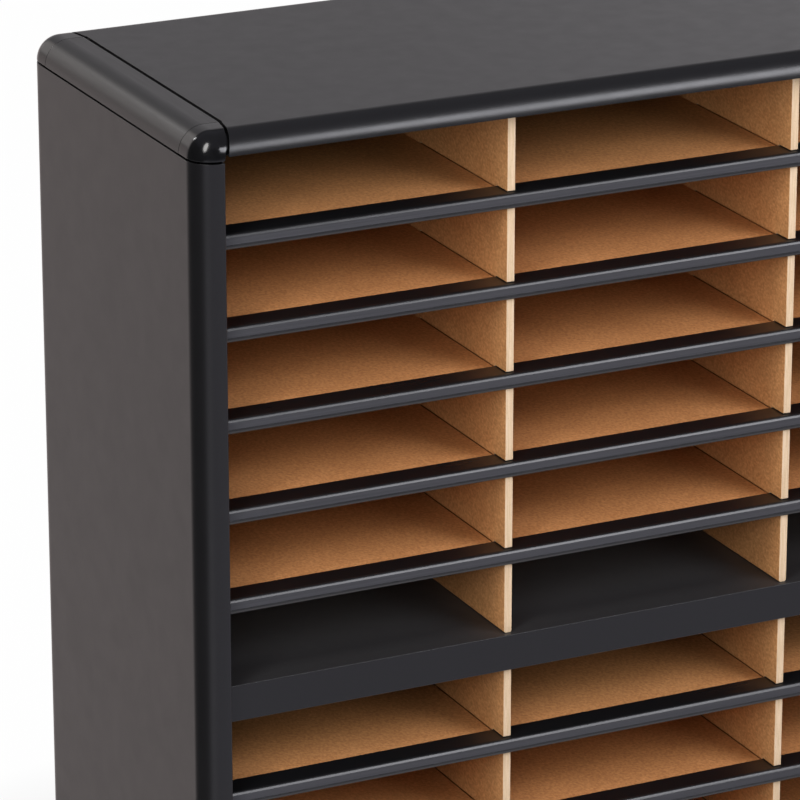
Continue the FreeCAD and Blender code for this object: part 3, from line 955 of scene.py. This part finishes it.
# The room by direction: each zone's light, and the axes along which it fades in from one value
# to the next
roomDim = (0.07, 0.07, 0.07)
roomZones = dict(
    backdrop=((0.455, 0.438, 0.455), (("Y", 0.62, 0.84), ("Z", 0.64, 0.46))),
    backdropRight=((0.70, 0.675, 0.70), (("Y", 0.62, 0.84), ("Z", 0.64, 0.46), ("X", 0.30, 0.52))),
    sweep=((0.665, 0.588, 0.578), (("Y", 0.68, 0.80), ("Z", 0.16, 0.04))),
    backLeft=((1.20, 1.13, 1.11),
              (("Y", 0.72, 0.80), ("X", 0.05, -0.22), ("Z", 0.56, 0.44), ("Z", -0.05, 0.20))),
    front=((0.56, 0.55, 0.63), (("X", -0.86, -0.68), ("Y", 0.3, 0.0), ("Z", -0.06, -0.26))),
    frontLeft=((0.76, 0.75, 0.82),
               (("X", -0.86, -0.68), ("X", -0.30, -0.55), ("Y", 0.3, 0.0), ("Z", -0.06, -0.26))),
    right=((0.42, 0.42, 0.44), (("X", 0.50, 0.72), ("Y", -0.35, -0.05), ("Z", 0.42, 0.20))),
    above=((0.20, 0.20, 0.23), (("Z", 0.45, 0.80),)),
    under=((1.05, 1.02, 1.06), (("Z", -0.50, -0.75),)),
)
lampAim = (-0.1, -0.1, 0.65)
lamps = (
    dict(name="keySoftbox", way=(-0.57, -0.39, 0.72), distance=2.6, size=(0.63, 1.62), power=29.0,
         colour=(1.0, 0.985, 0.96), shape="ELLIPSE"),
    dict(name="overheadSoftbox", way=(0.47, -0.675, 0.57), distance=2.8, size=(1.55, 0.88),
         power=40.0, colour=(0.94, 0.94, 1.0)),
    dict(name="leftFill", way=(-0.62, -0.68, 0.39), distance=3.2, size=(1.6, 1.3), power=43.5,
         colour=white, mirrored=False),
    dict(name="rightFill", way=(0.52, -0.80, 0.30), distance=3.2, size=(1.8, 1.3), power=38.0,
         colour=white, mirrored=False),
    dict(name="backKicker", way=(-0.44, 0.67, 0.60), distance=2.6, size=(0.22, 0.32), power=3.0,
         colour=white),
)


def makeFloor():
    bm = bmesh.new()
    bmesh.ops.create_grid(bm, x_segments=1, y_segments=1, size=floorLook["size"] / 2)
    mesh = bpy.data.meshes.new("studioFloor")
    bm.to_mesh(mesh)
    bm.free()
    floor = bpy.data.objects.new("studioFloor", mesh)
    bpy.context.scene.collection.objects.link(floor)
    finish = bpy.data.materials.new("paleFloor")
    finish.use_nodes = True
    tree = finish.node_tree
    tree.nodes.clear()
    matt = tree.nodes.new("ShaderNodeBsdfDiffuse")
    matt.inputs["Color"].default_value = (*floorLook["colour"], 1)
    glow = tree.nodes.new("ShaderNodeEmission")
    rays = tree.nodes.new("ShaderNodeLightPath")
    coords = tree.nodes.new("ShaderNodeTexCoord")
    reach = tree.nodes.new("ShaderNodeVectorMath")
    reach.operation = "LENGTH"
    tree.links.new(coords.outputs["Object"], reach.inputs[0])
    fade = spread(tree, reach.outputs["Value"], *floorLook["glow"], *floorLook["glowReach"])
    seen = tree.nodes.new("ShaderNodeMath")
    seen.operation = "MULTIPLY"
    tree.links.new(rays.outputs["Is Camera Ray"], seen.inputs[0])
    tree.links.new(fade, seen.inputs[1])
    mix = tree.nodes.new("ShaderNodeMixShader")
    out = tree.nodes.new("ShaderNodeOutputMaterial")
    tree.links.new(seen.outputs["Value"], mix.inputs["Fac"])
    tree.links.new(matt.outputs["BSDF"], mix.inputs[1])
    tree.links.new(glow.outputs["Emission"], mix.inputs[2])
    tree.links.new(mix.outputs["Shader"], out.inputs["Surface"])
    mesh.materials.append(finish)
    floor.visible_glossy = False
    floor.visible_diffuse = False
    floor.visible_shadow = False


# The brightest zone counts in each direction, and the camera sees plain white
def makeRoom():
    room = bpy.data.worlds.new("studioRoom")
    bpy.context.scene.world = room
    room.use_nodes = True
    tree = room.node_tree
    tree.nodes.clear()
    coords = tree.nodes.new("ShaderNodeTexCoord")
    split = tree.nodes.new("ShaderNodeSeparateXYZ")
    tree.links.new(coords.outputs["Generated"], split.inputs["Vector"])

    def soft(axis, start, end):
        ranged = tree.nodes.new("ShaderNodeMapRange")
        ranged.interpolation_type = "SMOOTHSTEP"
        ranged.inputs["From Min"].default_value = min(start, end)
        ranged.inputs["From Max"].default_value = max(start, end)
        ranged.inputs["To Min"].default_value = 0.0 if start < end else 1.0
        ranged.inputs["To Max"].default_value = 1.0 if start < end else 0.0
        tree.links.new(split.outputs[axis], ranged.inputs["Value"])
        return ranged.outputs["Result"]

    def meet(first, second):
        node = tree.nodes.new("ShaderNodeMath")
        node.operation = "MULTIPLY"
        tree.links.new(first, node.inputs[0])
        tree.links.new(second, node.inputs[1])
        return node.outputs["Value"]

    # raises the light to a colour where the mask is 1
    def raiseTo(light, mask, colour):
        scaled = tree.nodes.new("ShaderNodeVectorMath")
        scaled.operation = "SCALE"
        scaled.inputs[0].default_value = colour
        tree.links.new(mask, scaled.inputs["Scale"])
        node = tree.nodes.new("ShaderNodeVectorMath")
        node.operation = "MAXIMUM"
        if isinstance(light, tuple):
            node.inputs[0].default_value = light
        else:
            tree.links.new(light, node.inputs[0])
        tree.links.new(scaled.outputs["Vector"], node.inputs[1])
        return node.outputs["Vector"]

    light = roomDim
    for colour, fades in roomZones.values():
        mask = soft(*fades[0])
        for fade in fades[1:]:
            mask = meet(mask, soft(*fade))
        light = raiseTo(light, mask, colour)
    rays = tree.nodes.new("ShaderNodeLightPath")
    light = raiseTo(light, rays.outputs["Is Camera Ray"], white)
    shade = tree.nodes.new("ShaderNodeBackground")
    out = tree.nodes.new("ShaderNodeOutputWorld")
    tree.links.new(light, shade.inputs["Color"])
    tree.links.new(shade.outputs["Background"], out.inputs["Surface"])


def hangLamps():
    for look in lamps:
        lamp = bpy.data.lights.new(look["name"], "AREA")
        lamp.shape = look.get("shape", "RECTANGLE")
        lamp.size, lamp.size_y = look["size"]
        lamp.energy = look["power"]
        lamp.color = look["colour"]
        holder = bpy.data.objects.new(look["name"], lamp)
        bpy.context.scene.collection.objects.link(holder)
        way = Vector(look["way"]).normalized()
        holder.location = Vector(lampAim) + way * look["distance"]
        holder.rotation_mode = "QUATERNION"
        holder.rotation_quaternion = way.to_track_quat("Z", "Y")
        holder.visible_camera = False
        holder.visible_glossy = look.get("mirrored", True)


makeFloor()
makeRoom()
hangLamps()

# Camera at the photograph's angle, close in on the upper left of the organizer
view = dict(place=(-1.8631, -3.5319, 2.0560), yaw=25.825, pitch=19.595, lens=225.0, sensor=36.0)

lens = bpy.data.cameras.new("photoCamera")
lens.lens = view["lens"]
lens.sensor_width = view["sensor"]
lens.sensor_fit = "HORIZONTAL"
camera = bpy.data.objects.new("photoCamera", lens)
bpy.context.scene.collection.objects.link(camera)
yaw = Matrix.Rotation(math.radians(-view["yaw"]), 4, "Z")
pitch = Matrix.Rotation(math.radians(90 - view["pitch"]), 4, "X")
camera.matrix_world = Matrix.Translation(view["place"]) @ yaw @ pitch
bpy.context.scene.camera = camera
bpy.context.scene.view_settings.view_transform = "Standard"
print("organizer: studio and camera set")
